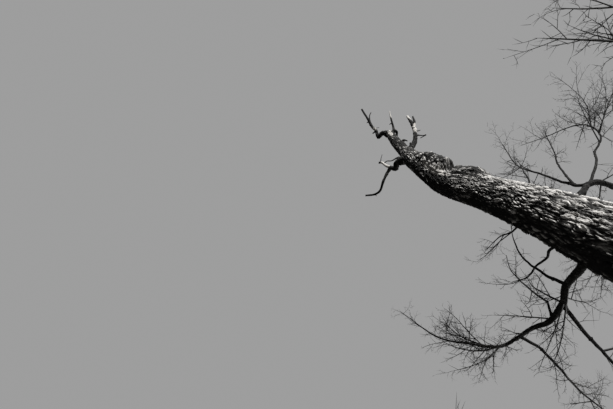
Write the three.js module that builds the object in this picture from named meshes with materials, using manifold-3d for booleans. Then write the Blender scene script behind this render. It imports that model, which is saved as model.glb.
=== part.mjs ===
// A bare winter tree: a big old leaning trunk, dead and broken at its top, with living boughs low down.
// Sizes are in millimetres and angles in degrees, +Z is up, and the origin is the middle of the
// trunk's foot on the ground. The trunk leans towards -Y, and its swellings stand out on the +X side.
// A heading is the compass way of a limb seen from above, 0 along +X and 90 along +Y. A climb is how
// steeply it rises.

import * as THREE from "three";
import { mergeVertices } from "three/addons/utils/BufferGeometryUtils.js";
import Module from "manifold-3d";

const wasm = await Module();
wasm.setup();

const DEGREE = Math.PI / 180;
const GAP = 0.3;

// Trunk: height, the middle line's place along X and Y, and the radius there, from the foot to the
// broken tip. The fork to the dead arms is at 14.5 m.
const TRUNK = [
  [0, 0, 0, 440],
  [1300, 5, -50, 408],
  [3000, 10, -160, 375],
  [5750, 0, -350, 330],
  [7250, 40, -440, 294],
  [8900, 38, -530, 264],
  [10900, -30, -660, 246],
  [12000, 35, -710, 233],
  [13200, 160, -790, 226],
  [14300, 290, -860, 236],
  [15000, 370, -905, 186],
  [16100, 530, -970, 170],
  [17250, 700, -1040, 158],
  [18650, 935, -1120, 132],
];
const TRUNK_TOP = TRUNK.at(-1)[0];
const TRUNK_SIDES = 26;
const TRUNK_RING_SPACING = 350;
const BREAK_DEPTH = 70;

// Root flare: a skirt all round that dies away upwards, and the root buttresses standing out of it,
// each with its heading and how far it stands out at the ground.
const FLARE = { skirt: 95, height: 520, halfWidth: 33, rings: 6, top: 1500 };
const BUTTRESSES = [[18, 250], [80, 190], [141, 280], [204, 210], [262, 270], [318, 180]];

// Swellings of the trunk: heights where each starts, is full, begins to fade and ends
const SWELLINGS = [
  { heights: [8800, 9700, 10350, 10560], heading: -5, halfWidth: 44, rise: 140 },
  { heights: [10720, 10900, 11900, 14100], heading: -18, halfWidth: 40, rise: 250 },
];

// Limbs that show: where each leaves its parent (a height on the trunk, or a share of the parent's
// length), its radius there, and its runs as length, heading, climb and the radius at the run's end
const LIMBS = [
  { name: "dead_arm", parent: "trunk", at: 18420, radius: 92, runs: [
    [320, 266, 39, 80], [210, 211, 22, 74], [280, 320, 33, 54], [260, 293, 22, 45], [310, 315, 19, 42],
    [430, 311, 20, 32],
  ] },
  { name: "dead_arm_prong", parent: "dead_arm", at: 0.6, radius: 30, runs: [
    [360, 321, 35, 25], [220, 339, 39, 20], [220, 6, 46, 14],
  ] },
  { name: "dead_spike", parent: "trunk", at: 18250, radius: 75, runs: [
    [330, 12, 50, 60], [290, 352, 60, 40], [370, 330, 32, 31], [340, 333, 37, 16],
  ] },
  { name: "dead_fork", parent: "trunk", at: 14950, radius: 84, runs: [
    [640, 22, 51, 70], [470, 359, 48, 62], [490, 336, 55, 54], [480, 323, 57, 36],
  ] },
  { name: "dead_fork_prong", parent: "dead_fork", at: 0.6, radius: 42, runs: [
    [350, 352, 45, 38], [390, 342, 65, 26],
  ] },
  { name: "dead_crook", parent: "trunk", at: 14250, radius: 92, runs: [
    [420, 228, 29, 82], [180, 179, 32, 74], [240, 232, 57, 52], [380, 191, -20, 36], [290, 179, -4, 33],
    [260, 204, 43, 31], [370, 232, 48, 25],
  ] },
  { name: "dead_crook_prong", parent: "dead_crook", at: 0.4, radius: 42, runs: [
    [180, 277, 42, 38], [230, 290, 59, 34], [170, 244, 66, 30],
  ] },

  { name: "west_bough", parent: "trunk", at: 5800, radius: 56, runs: [
    [350, 201, 31, 46], [150, 165, 52, 44], [390, 149, 47, 40], [380, 141, 38, 38], [470, 157, 45, 34],
    [430, 168, 55, 30], [460, 168, 49, 26],
  ] },
  { name: "west_riser", parent: "west_bough", at: 0.42, radius: 21, runs: [[330, 160, 84, 18]] },
  { name: "west_back_limb", parent: "west_bough", at: 0.58, radius: 25, runs: [
    [310, 120, 9, 23], [340, 116, 17, 21],
  ] },
  { name: "west_spur", parent: "west_bough", at: 0.68, radius: 17, runs: [[240, 347, 57, 13]] },
  { name: "west_low_limb", parent: "west_bough", at: 0.96, radius: 22, runs: [[400, 104, 8, 19]] },

  { name: "east_bough", parent: "trunk", at: 6700, radius: 40, runs: [
    [520, 25, 32, 36], [150, 36, 34, 35], [150, 62, 24, 34], [240, 88, 19, 33], [620, 85, 29, 30],
    [500, 80, 36, 24],
  ] },
  { name: "east_riser", parent: "east_bough", at: 0.34, radius: 21, runs: [
    [290, 170, 82, 19], [230, 64, 84, 18],
  ] },
  { name: "east_spur", parent: "east_riser", at: 0.55, radius: 16, runs: [[370, 13, 73, 14]] },
  { name: "east_arch", parent: "east_bough", at: 0.32, radius: 18, runs: [
    [440, 28, 44, 16], [470, 32, 59, 14],
  ] },
];

const THICK_LIMB = { radius: 45, sides: 9 };
const THIN_LIMB_SIDES = 7;

// Boughs that carry the crown on round the tree: name, height on the trunk, heading, climb, length,
// radius at the trunk, seed, and the sides on which it has a side limb
const ROUND_BOUGHS = [
  ["north_bough", 7200, 96, 34, 4000, 80, 3, ["right"]],
  ["northwest_bough", 5000, 132, 22, 4600, 92, 14, ["left", "right"]],
  ["northeast_bough", 4550, 46, 20, 4500, 88, 25, ["left", "right"]],
  ["southwest_bough", 3600, 217, 7, 3900, 76, 36, ["right"]],
  ["southeast_bough", 4050, 324, 10, 3900, 74, 47, ["left"]],
  ["upper_bough", 7900, 72, 46, 2200, 46, 58, []],
];
const ROUND = { runs: 5, headingWander: 15, climbWander: 8, climbGain: 4, tipShare: 0.45 };
const SIDE_LIMB = {
  left: { at: 0.46, turn: 50, share: 0.34, thickness: 0.51 },
  right: { at: 0.7, turn: -46, share: 0.3, thickness: 0.41 },
};
const SIDE_RULE = { ...ROUND, runs: 2 };
const SIDE_CLIMB = 6;
const SIDE_TIP_SHARE = 0.75;
const SIDE_STEM_SHARE = 0.8;

// Masses of twigs whose stems show: each stem starts at its limb's tip, or inside the trunk at a height
const SHOWN_STEMS = [
  { name: "west_bough_twigs", limb: "west_bough", seed: 101, runs: [
    [280, 179, 46, 24], [410, 183, 59, 22], [490, 189, 66, 19], [960, 216, 62, 14], [1200, 254, 67, 4],
  ] },
  { name: "west_riser_twigs", limb: "west_riser", seed: 102, runs: [
    [360, 108, 81, 16], [450, 84, 85, 14], [400, 33, 82, 11], [470, 16, 73, 8], [420, 8, 62, 4],
  ] },
  { name: "west_back_twigs", limb: "west_back_limb", seed: 103, runs: [
    [590, 114, 18, 18], [830, 117, 17, 14], [620, 112, 30, 9], [500, 104, 46, 4],
  ] },
  { name: "west_spur_twigs", limb: "west_spur", seed: 104, runs: [
    [600, 109, 87, 12], [700, 36, 85, 8], [480, 20, 72, 4],
  ] },
  { name: "west_low_twigs", limb: "west_low_limb", seed: 105, runs: [
    [440, 116, 12, 17], [660, 117, 17, 14], [700, 111, 22, 9], [500, 116, 40, 4],
  ] },
  { name: "east_bough_twigs", limb: "east_bough", seed: 106, runs: [
    [600, 75, 40, 18], [700, 86, 48, 12], [700, 92, 56, 4],
  ] },
  { name: "east_riser_twigs", limb: "east_riser", seed: 107, runs: [
    [300, 64, 84, 16], [700, 9, 85, 14], [700, 29, 86, 11], [410, 351, 77, 9], [760, 356, 68, 4],
  ] },
  { name: "east_spur_twigs", limb: "east_spur", seed: 108, runs: [
    [430, 8, 68, 12], [550, 30, 65, 9], [760, 18, 66, 4],
  ] },
  { name: "east_arch_twigs", limb: "east_arch", seed: 109, runs: [
    [330, 25, 38, 13], [540, 17, 68, 11], [700, 62, 82, 9], [1010, 147, 80, 7], [900, 172, 80, 4],
  ] },
  { name: "west_shoot_twigs", limb: "trunk", at: 6300, radius: 19, seed: 110, runs: [
    [450, 199, 45, 17], [240, 142, 50, 15], [360, 156, 56, 13], [430, 147, 55, 9], [380, 176, 62, 4],
  ] },
  { name: "upper_west_shoot_twigs", limb: "trunk", at: 7500, radius: 15, seed: 111, runs: [
    [400, 175, 39, 13], [170, 162, 58, 12], [430, 166, 68, 8], [600, 161, 57, 4],
  ] },
  { name: "east_shoot_twigs", limb: "trunk", at: 7650, radius: 15, seed: 112, runs: [
    [420, 8, 42, 13], [330, 352, 62, 9], [420, 12, 70, 4],
  ] },
];
const GROWN_STEM = { runs: 4, headingWander: 22, climbWander: 8, climbGain: 9, tipRadius: 4 };
const GROWN_STEM_SHARE = 0.56;
const GROWN_STEM_LEAST = 1500;
const STEM_SIDES = 5;
const STEM_LAP = 15;
const STEM_FIT = 0.9;

// The rule of the twigs. Lists go by level: side twigs of a stem, then side twigs of those.
const TWIG = {
  spacing: [125, 95],
  share: [0.46, 0.5],
  shortest: [400, 560],
  rings: [3, 2],
  sides: 3,
  longestParent: 2100,
  bareFoot: 0.12,
  kinks: 3,
  wander: 0.28,
  lift: 0.1,
  lean: [34, 62],
  turn: 137.5,
  turnWander: 35,
  size: { least: 0.35, most: 1.5 },
  taper: 0.0105,
  root: 1.6,
};
const MASS_REACH = 1250;
const CLEARANCE = 34;

const BARK = { color: 0x5b5955, roughness: 0.95, metalness: 0 };
const DEAD_WOOD = { color: 0x8b8984, roughness: 0.85, metalness: 0 };
const TWIG_BARK = { color: 0x45433f, roughness: 0.8, metalness: 0 };

// Numbers by chance that are the same on every run
function dice(seed) {
  let state = Math.imul(seed + 1, 2654435761) >>> 0;
  return (low, high) => {
    state = (Math.imul(state, 1664525) + 1013904223) >>> 0;
    return low + (high - low) * (state / 4294967296);
  };
}

function childSeed(seed, index) {
  return (Math.imul(seed, 977) + Math.imul(index, 131) + 7) >>> 0;
}

// Trunk shape

function trunkAt(height) {
  let low = 0;
  while (low < TRUNK.length - 2 && TRUNK[low + 1][0] <= height) low += 1;
  const slope = (index, value) => {
    const before = TRUNK[Math.max(index - 1, 0)];
    const after = TRUNK[Math.min(index + 1, TRUNK.length - 1)];
    return (after[value] - before[value]) / (after[0] - before[0]);
  };
  const width = TRUNK[low + 1][0] - TRUNK[low][0];
  const t = (height - TRUNK[low][0]) / width;
  const smooth = (value) => (2 * t ** 3 - 3 * t ** 2 + 1) * TRUNK[low][value]
    + (t ** 3 - 2 * t ** 2 + t) * width * slope(low, value)
    + (3 * t ** 2 - 2 * t ** 3) * TRUNK[low + 1][value]
    + (t ** 3 - t ** 2) * width * slope(low + 1, value);
  return { middle: new THREE.Vector3(smooth(1), smooth(2), height), radius: smooth(3) };
}

// A bump round a heading: 1 on it, 0 at its half-width and beyond
function lobe(angle, heading, halfWidth) {
  const away = Math.abs(((angle / DEGREE - heading + 540) % 360) - 180);
  return away < halfWidth ? Math.cos(away / halfWidth * Math.PI / 2) ** 2 : 0;
}

function ease(low, high, value) {
  const t = Math.min(Math.max((value - low) / (high - low), 0), 1);
  return t * t * (3 - 2 * t);
}

function trunkRadius(height, angle) {
  let radius = trunkAt(height).radius;
  const flare = Math.exp(-height / FLARE.height);
  radius += FLARE.skirt * flare;
  for (const [heading, reach] of BUTTRESSES) radius += reach * flare * lobe(angle, heading, FLARE.halfWidth);
  for (const { heights: [start, full, fade, end], heading, halfWidth, rise } of SWELLINGS) {
    const swell = ease(start, full, height) * (1 - ease(fade, end, height));
    radius += rise * swell * lobe(angle, heading, halfWidth);
  }
  return radius;
}

function breakHeight(angle) {
  return BREAK_DEPTH * (Math.sin(3 * angle + 1) + 0.6 * Math.sin(7 * angle)) / 1.6;
}

// Rings close together in the flare, then evenly spaced, with one at each sharp end of a swelling
function trunkRingHeights() {
  const heights = SWELLINGS.flatMap((swelling) => swelling.heights);
  for (let i = 0; i < FLARE.rings; i += 1) heights.push(FLARE.top * (i / FLARE.rings) ** 1.6);
  const evenRings = Math.round((TRUNK_TOP - FLARE.top) / TRUNK_RING_SPACING);
  for (let i = 0; i <= evenRings; i += 1) {
    const height = FLARE.top + (TRUNK_TOP - FLARE.top) * i / evenRings;
    if (!heights.some((other) => Math.abs(other - height) < TRUNK_RING_SPACING / 2)) heights.push(height);
  }
  return heights.sort((a, b) => a - b);
}

// The trunk's solid, made fatter all over by extra when a limb is to be cut clear of it
function trunkSolid(extra) {
  const heights = trunkRingHeights();
  const rings = heights.length - 1;
  const shape = new THREE.CylinderGeometry(1, 1, 1, TRUNK_SIDES, rings);
  const place = shape.attributes.position;
  for (let i = 0; i < place.count; i += 1) {
    const ring = Math.round((place.getY(i) + 0.5) * rings);
    const angle = Math.atan2(-place.getZ(i), place.getX(i));
    const onRim = Math.hypot(place.getX(i), place.getZ(i)) > 0.5;
    const height = heights[ring];
    const radius = onRim ? trunkRadius(height, angle) + extra : 0;
    const { middle } = trunkAt(height);
    let rise = 0;
    if (ring === rings) rise = onRim ? breakHeight(angle) + extra : extra - BREAK_DEPTH;
    place.setXYZ(i, middle.x + radius * Math.cos(angle), middle.y + radius * Math.sin(angle), height + rise);
  }
  return closed(shape);
}

// Limbs and twigs: a path is its bend points and the radius at each

function stride(length, heading, climb) {
  const flat = length * Math.cos(climb * DEGREE);
  return new THREE.Vector3(flat * Math.cos(heading * DEGREE), flat * Math.sin(heading * DEGREE),
    length * Math.sin(climb * DEGREE));
}

function pathOf(start, radius, runs) {
  const points = [start.clone()];
  const radii = [radius];
  for (const [length, heading, climb, endRadius] of runs) {
    points.push(points.at(-1).clone().add(stride(length, heading, climb)));
    radii.push(endRadius);
  }
  return withCurve(points, radii);
}

function withCurve(points, radii) {
  return { points, radii, curve: new THREE.CatmullRomCurve3(points, false, "catmullrom", 0.5) };
}

function radiusAlong(path, share) {
  const spot = share * (path.radii.length - 1);
  const low = Math.min(Math.floor(spot), path.radii.length - 2);
  return path.radii[low] + (path.radii[low + 1] - path.radii[low]) * (spot - low);
}

function lengthOf(path) {
  let total = 0;
  for (let i = 1; i < path.points.length; i += 1) total += path.points[i].distanceTo(path.points[i - 1]);
  return total;
}

// A direction square to another
function across(along) {
  const square = new THREE.Vector3(0, 0, 1);
  if (Math.abs(along.z) > 0.9) square.set(1, 0, 0);
  return square.crossVectors(along, square).normalize();
}

// A closed tapering tube along a path. Its ends are flat cuts, unless it is pointed.
function tube(path, sides, rings, { pointed = false, extra = 0 } = {}) {
  const shape = new THREE.CylinderGeometry(pointed ? 0 : 1, 1, 1, sides, rings);
  const frames = [];
  const side = across(path.curve.getTangent(0));
  for (let ring = 0; ring <= rings; ring += 1) {
    const share = ring / rings;
    const along = path.curve.getTangent(share);
    side.addScaledVector(along, -side.dot(along)).normalize();
    frames.push({
      middle: path.curve.getPoint(share).addScaledVector(along, ring === rings ? extra : 0),
      side: side.clone(),
      over: new THREE.Vector3().crossVectors(side, along),
      radius: radiusAlong(path, share) + extra / Math.cos(Math.PI / sides),
    });
  }
  const place = shape.attributes.position;
  const spot = new THREE.Vector3();
  for (let i = 0; i < place.count; i += 1) {
    const { middle, side, over, radius } = frames[Math.round((place.getY(i) + 0.5) * rings)];
    const out = new THREE.Vector2(place.getX(i), place.getZ(i));
    if (out.length() > 0) out.setLength(radius);
    spot.copy(middle).addScaledVector(side, out.x).addScaledVector(over, out.y);
    place.setXYZ(i, spot.x, spot.y, spot.z);
  }
  return closed(shape);
}

// A closed geometry as a solid that can be joined and cut
function closed(shape) {
  shape.deleteAttribute("normal");
  shape.deleteAttribute("uv");
  const merged = mergeVertices(shape);
  return new wasm.Manifold(new wasm.Mesh({
    numProp: 3,
    vertProperties: merged.attributes.position.array,
    triVerts: Uint32Array.from(merged.index.array),
  }));
}

function largestPiece(solid) {
  return solid.decompose().reduce((best, piece) => (piece.volume() > best.volume() ? piece : best));
}

// Side twigs of a twig, each with its own seed, by the rule for their level
function sideTwigs(parent, level, seed) {
  const length = lengthOf(parent);
  const count = Math.floor(length * (1 - TWIG.bareFoot) / TWIG.spacing[level]);
  const twigs = [];
  for (let index = 0; index < count; index += 1) {
    const ownSeed = childSeed(seed, index);
    const roll = dice(ownSeed);
    const share = TWIG.bareFoot + (1 - TWIG.bareFoot) * (index + roll(0.1, 0.9)) / count;
    const turn = (index * TWIG.turn + roll(-TWIG.turnWander, TWIG.turnWander)) * DEGREE;
    const lean = roll(...TWIG.lean) * DEGREE;
    const fullSize = Math.min(length, TWIG.longestParent) * TWIG.share[level];
    const chance = TWIG.size.least + (TWIG.size.most - TWIG.size.least) * roll(0, 1) ** 2;
    const size = fullSize * (1.1 - 0.7 * share) * chance;
    const along = parent.curve.getTangent(share);
    const side = across(along).applyAxisAngle(along, turn);
    const way = along.clone().multiplyScalar(Math.cos(lean)).addScaledVector(side, Math.sin(lean));
    const radius = Math.min(size * TWIG.taper + TWIG.root, radiusAlong(parent, share) * 0.75);
    const points = [parent.curve.getPoint(share)];
    const radii = [radius];
    for (let kink = 1; kink <= TWIG.kinks; kink += 1) {
      way.x += roll(-TWIG.wander, TWIG.wander);
      way.y += roll(-TWIG.wander, TWIG.wander);
      way.z += roll(-TWIG.wander, TWIG.wander) + TWIG.lift;
      way.normalize();
      points.push(points.at(-1).clone().addScaledVector(way, size / TWIG.kinks));
      radii.push(radius * (1 - 0.75 * kink / TWIG.kinks));
    }
    twigs.push({ path: withCurve(points, radii), seed: ownSeed, length: size });
  }
  return twigs;
}

// Runs of a limb grown by chance, each turned a little from the one before
function grownRuns(roll, rule, { heading, climb, length, radius, tipRadius }) {
  const runs = [];
  let way = heading;
  let rise = climb;
  for (let index = 1; index <= rule.runs; index += 1) {
    runs.push([length / rule.runs, way, rise, radius + (tipRadius - radius) * index / rule.runs]);
    way = heading + roll(-rule.headingWander, rule.headingWander);
    rise = climb + rule.climbGain * index + roll(-rule.climbWander, rule.climbWander);
  }
  return runs;
}

// Build

const trunk = trunkSolid(0);
const fatTrunk = trunkSolid(GAP);
const limbs = new Map();
const stems = [];

function addLimb({ name, parent, at, radius, runs, dead }) {
  const start = parent === "trunk" ? trunkAt(at).middle : limbs.get(parent).path.curve.getPoint(at);
  const path = pathOf(start, radius, runs);
  const sides = radius > THICK_LIMB.radius ? THICK_LIMB.sides : THIN_LIMB_SIDES;
  const rings = runs.length * 2;
  let solid = tube(path, sides, rings).subtract(fatTrunk);
  for (const other of limbs.values()) solid = solid.subtract(other.fat);
  solid = largestPiece(solid);
  limbs.set(name, { path, solid, fat: tube(path, sides, rings, { extra: GAP }), dead });
  return path;
}

for (const limb of LIMBS) addLimb({ ...limb, dead: limb.name.startsWith("dead") });

// A grown bough, its side limbs, and the stem that goes on from the tip of each
for (const [bough, at, heading, climb, length, radius, seed, hands] of ROUND_BOUGHS) {
  const roll = dice(seed);
  const tipRadius = radius * ROUND.tipShare;
  const runs = grownRuns(roll, ROUND, { heading, climb, length, radius, tipRadius });
  addLimb({ name: bough, parent: "trunk", at, radius, runs });
  const arms = [{ name: bough, run: runs.at(-1), length, radius: tipRadius }];
  for (const hand of hands) {
    const side = SIDE_LIMB[hand];
    const name = `${bough}_${hand}_limb`;
    const base = runs[Math.floor(side.at * runs.length)];
    const size = { length: length * side.share, radius: radius * side.thickness };
    const way = { heading: base[1] + side.turn, climb: base[2] + SIDE_CLIMB };
    const sideTip = size.radius * SIDE_TIP_SHARE;
    const sideRuns = grownRuns(roll, SIDE_RULE, { ...size, ...way, tipRadius: sideTip });
    addLimb({ name, parent: bough, at: side.at, radius: size.radius, runs: sideRuns });
    arms.push({ name, run: sideRuns.at(-1), length: length * SIDE_STEM_SHARE, radius: sideTip });
  }
  for (const [index, arm] of arms.entries()) {
    const size = { length: Math.max(arm.length * GROWN_STEM_SHARE, GROWN_STEM_LEAST), radius: arm.radius };
    const way = { heading: arm.run[1], climb: arm.run[2] };
    const stemRuns = grownRuns(roll, GROWN_STEM, { ...size, ...way, tipRadius: GROWN_STEM.tipRadius });
    stems.push({ name: `${arm.name}_twigs`, limb: arm.name, seed: seed * 10 + index, runs: stemRuns });
  }
}
stems.push(...SHOWN_STEMS);

// A stem starts a little inside its limb's tip or in the trunk, and is cut clear of it afterwards
for (const stem of stems) {
  if (stem.limb === "trunk") {
    stem.path = pathOf(trunkAt(stem.at).middle, stem.radius, stem.runs);
    continue;
  }
  const { path } = limbs.get(stem.limb);
  const start = path.curve.getPoint(1).addScaledVector(path.curve.getTangent(1), -STEM_LAP);
  stem.path = pathOf(start, path.radii.at(-1) * STEM_FIT, stem.runs);
}

// How far a point is from a path's middle line, and from its surface
function distanceTo(path, point) {
  const nearest = new THREE.Vector3();
  const line = new THREE.Line3();
  let best = { middle: Infinity, surface: Infinity };
  for (let i = 1; i < path.points.length; i += 1) {
    line.set(path.points[i - 1], path.points[i]);
    const share = line.closestPointToPointParameter(point, true);
    line.at(share, nearest);
    const away = nearest.distanceTo(point);
    if (away < best.middle) best.middle = away;
    best.surface = Math.min(best.surface, away - Math.max(path.radii[i - 1], path.radii[i]));
  }
  return best;
}

function clearOfTrunk(point) {
  const { middle } = trunkAt(Math.min(point.z, TRUNK_TOP));
  const away = Math.hypot(point.x - middle.x, point.y - middle.y);
  const angle = Math.atan2(point.y - middle.y, point.x - middle.x);
  return away > trunkRadius(point.z, angle) + CLEARANCE;
}

// A mass's space is all that lies nearer to its own stem than to any other, within its reach, and
// clear of the trunk and the limbs
function inSpace(stem, path) {
  for (let step = 1; step <= 4; step += 1) {
    const point = path.curve.getPoint(step / 4);
    const own = distanceTo(stem.path, point).middle;
    if (own > MASS_REACH || !clearOfTrunk(point)) return false;
    for (const other of stems) {
      if (other !== stem && distanceTo(other.path, point).middle < own + CLEARANCE * 2) return false;
    }
    for (const limb of limbs.values()) {
      if (distanceTo(limb.path, point).surface < CLEARANCE) return false;
    }
  }
  return true;
}

function growTwigs(stem) {
  const solids = [];
  const grow = (parent, level, seed) => {
    for (const twig of sideTwigs(parent, level, seed)) {
      if (twig.length < TWIG.shortest[level] || !inSpace(stem, twig.path)) continue;
      solids.push(tube(twig.path, TWIG.sides, TWIG.rings[level], { pointed: true }));
      if (level + 1 < TWIG.spacing.length) grow(twig.path, level + 1, twig.seed);
    }
  };
  grow(stem.path, 0, stem.seed);
  return solids;
}

const tree = new THREE.Group();

function addMesh(name, solid, look) {
  const { vertProperties, triVerts } = solid.getMesh();
  const geometry = new THREE.BufferGeometry();
  geometry.setAttribute("position", new THREE.BufferAttribute(vertProperties, 3));
  geometry.setIndex(new THREE.BufferAttribute(triVerts, 1));
  geometry.computeVertexNormals();
  const mesh = new THREE.Mesh(geometry, new THREE.MeshStandardMaterial(look));
  mesh.name = name;
  tree.add(mesh);
}

addMesh("trunk", trunk, BARK);
for (const [name, { solid, dead }] of limbs) addMesh(name, solid, dead ? DEAD_WOOD : BARK);
for (const stem of stems) {
  const holder = stem.limb === "trunk" ? fatTrunk : limbs.get(stem.limb).fat;
  const stemSolid = tube(stem.path, STEM_SIDES, stem.runs.length * 2, { pointed: true }).subtract(holder);
  const solid = wasm.Manifold.union([largestPiece(stemSolid), ...growTwigs(stem)]);
  addMesh(stem.name, largestPiece(solid), TWIG_BARK);
}

export default tree;
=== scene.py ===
import math
from collections import namedtuple

import bpy
import numpy as np
from mathutils import Matrix, Vector


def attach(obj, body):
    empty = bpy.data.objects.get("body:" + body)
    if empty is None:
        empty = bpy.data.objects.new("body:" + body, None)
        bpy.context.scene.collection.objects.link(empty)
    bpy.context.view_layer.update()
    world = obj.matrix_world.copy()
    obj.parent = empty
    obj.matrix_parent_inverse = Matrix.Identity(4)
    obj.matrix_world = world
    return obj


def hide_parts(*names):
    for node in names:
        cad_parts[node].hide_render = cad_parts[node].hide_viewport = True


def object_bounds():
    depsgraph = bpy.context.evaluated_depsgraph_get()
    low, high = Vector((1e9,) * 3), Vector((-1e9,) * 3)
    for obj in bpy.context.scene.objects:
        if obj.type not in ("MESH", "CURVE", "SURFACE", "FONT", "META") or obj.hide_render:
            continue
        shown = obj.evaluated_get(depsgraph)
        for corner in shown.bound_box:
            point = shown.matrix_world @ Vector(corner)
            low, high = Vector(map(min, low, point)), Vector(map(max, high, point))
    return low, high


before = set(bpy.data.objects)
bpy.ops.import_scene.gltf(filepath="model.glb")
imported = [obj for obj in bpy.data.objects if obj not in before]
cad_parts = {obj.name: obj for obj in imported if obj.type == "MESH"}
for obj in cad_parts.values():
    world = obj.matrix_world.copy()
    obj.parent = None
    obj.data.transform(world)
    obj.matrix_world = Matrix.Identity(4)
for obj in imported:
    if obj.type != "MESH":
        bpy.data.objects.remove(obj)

# A bare winter tree: a big old leaning trunk with furrowed bark, dead and broken at its top, with living
# boughs low down that carry fine bare twigs. Tables give millimetres and degrees, and meshes are made in
# metres. The trunk leans towards -Y, and its swellings are on the +X side. A heading is the compass way of
# a limb seen from above, 0 along +X and 90 along +Y, and a climb is how steeply it rises.

CAD_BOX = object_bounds()
MM = 0.001

# Trunk: height, the middle line's place along X and Y, and the radius there
TRUNK = np.array([
    (0, 0, 0, 440),
    (1300, 5, -50, 408),
    (3000, 10, -160, 375),
    (5750, 0, -350, 330),
    (7250, 40, -440, 294),
    (8900, 38, -530, 264),
    (10900, -30, -660, 246),
    (12000, 35, -710, 233),
    (13200, 160, -790, 226),
    (14300, 290, -860, 236),
    (15000, 370, -905, 186),
    (16100, 530, -970, 170),
    (17250, 700, -1040, 158),
    (18650, 935, -1120, 132),
], float)
TRUNK_TOP = TRUNK[-1, 0]
FLARE = {"skirt": 95, "height": 520, "half_width": 33}
BUTTRESSES = [(18, 250), (80, 190), (141, 280), (204, 210), (262, 270), (318, 180)]
SWELLINGS = [
    {"heights": (8800, 9700, 10350, 10560), "heading": -5, "half_width": 44, "rise": 140},
    {"heights": (10720, 10900, 11900, 14100), "heading": -18, "half_width": 40, "rise": 250},
]

# Limbs: name, parent, where on the parent, radius there, and runs as length, heading, climb, end radius
LIMBS = [
    ("dead_arm", "trunk", 18420, 92, [
        (320, 266, 39, 80), (210, 211, 22, 74), (280, 320, 33, 54), (260, 293, 22, 45),
        (310, 315, 19, 42), (430, 311, 20, 32)]),
    ("dead_arm_prong", "dead_arm", 0.6, 30, [(360, 321, 35, 25), (220, 339, 39, 20), (220, 6, 46, 14)]),
    ("dead_spike", "trunk", 18250, 75, [
        (330, 12, 50, 60), (290, 352, 60, 40), (370, 330, 32, 31), (340, 333, 37, 16)]),
    ("dead_fork", "trunk", 14950, 84, [
        (640, 22, 51, 70), (470, 359, 48, 62), (490, 336, 55, 54), (480, 323, 57, 36)]),
    ("dead_fork_prong", "dead_fork", 0.6, 42, [(350, 352, 45, 38), (390, 342, 65, 26)]),
    ("dead_crook", "trunk", 14250, 92, [
        (420, 228, 29, 82), (180, 179, 32, 74), (240, 232, 57, 52), (380, 191, -20, 36),
        (290, 179, -4, 33), (260, 204, 43, 31), (370, 232, 48, 25)]),
    ("dead_crook_prong", "dead_crook", 0.4, 42, [
        (180, 277, 42, 38), (230, 290, 59, 34), (170, 244, 66, 30)]),
    ("west_bough", "trunk", 5800, 56, [
        (350, 201, 31, 46), (150, 165, 52, 44), (390, 149, 47, 40), (380, 141, 38, 38),
        (470, 157, 45, 34), (430, 168, 55, 30), (460, 168, 49, 26)]),
    ("west_riser", "west_bough", 0.42, 21, [(330, 160, 84, 18)]),
    ("west_back_limb", "west_bough", 0.58, 25, [(310, 120, 9, 23), (340, 116, 17, 21)]),
    ("west_spur", "west_bough", 0.68, 17, [(240, 347, 57, 13)]),
    ("west_low_limb", "west_bough", 0.96, 22, [(400, 104, 8, 19)]),
    ("east_bough", "trunk", 6700, 40, [
        (520, 25, 32, 36), (150, 36, 34, 35), (150, 62, 24, 34), (240, 88, 19, 33),
        (620, 85, 29, 30), (500, 80, 36, 24)]),
    ("east_riser", "east_bough", 0.34, 21, [(290, 170, 82, 19), (230, 64, 84, 18)]),
    ("east_spur", "east_riser", 0.55, 16, [(370, 13, 73, 14)]),
    ("east_arch", "east_bough", 0.32, 18, [(440, 28, 44, 16), (470, 32, 59, 14)]),
]

# Boughs that carry the crown on round the tree: name, height on the trunk, heading, climb, length, radius
# there, seed, and the sides with a side limb
ROUND_BOUGHS = [
    ("north_bough", 7200, 96, 34, 4000, 80, 3, ["right"]),
    ("northwest_bough", 5000, 132, 22, 4600, 92, 14, ["left", "right"]),
    ("northeast_bough", 4550, 46, 20, 4500, 88, 25, ["left", "right"]),
    ("southwest_bough", 3600, 217, 7, 3900, 76, 36, ["right"]),
    ("southeast_bough", 4050, 324, 10, 3900, 74, 47, ["left"]),
    ("upper_bough", 7900, 72, 46, 2200, 46, 58, []),
]
# How they and their side limbs grow. A tip is a share of the radius at the foot.
ROUND = {"runs": 5, "heading_wander": 15, "climb_wander": 8, "climb_gain": 4, "tip": 0.45}
SIDE_LIMB = {
    "left": {"at": 0.46, "turn": 50, "share": 0.34, "thickness": 0.51},
    "right": {"at": 0.7, "turn": -46, "share": 0.3, "thickness": 0.41},
}
SIDE = {"runs": 2, "climb": 6, "tip": 0.75, "stem": 0.8}

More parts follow.
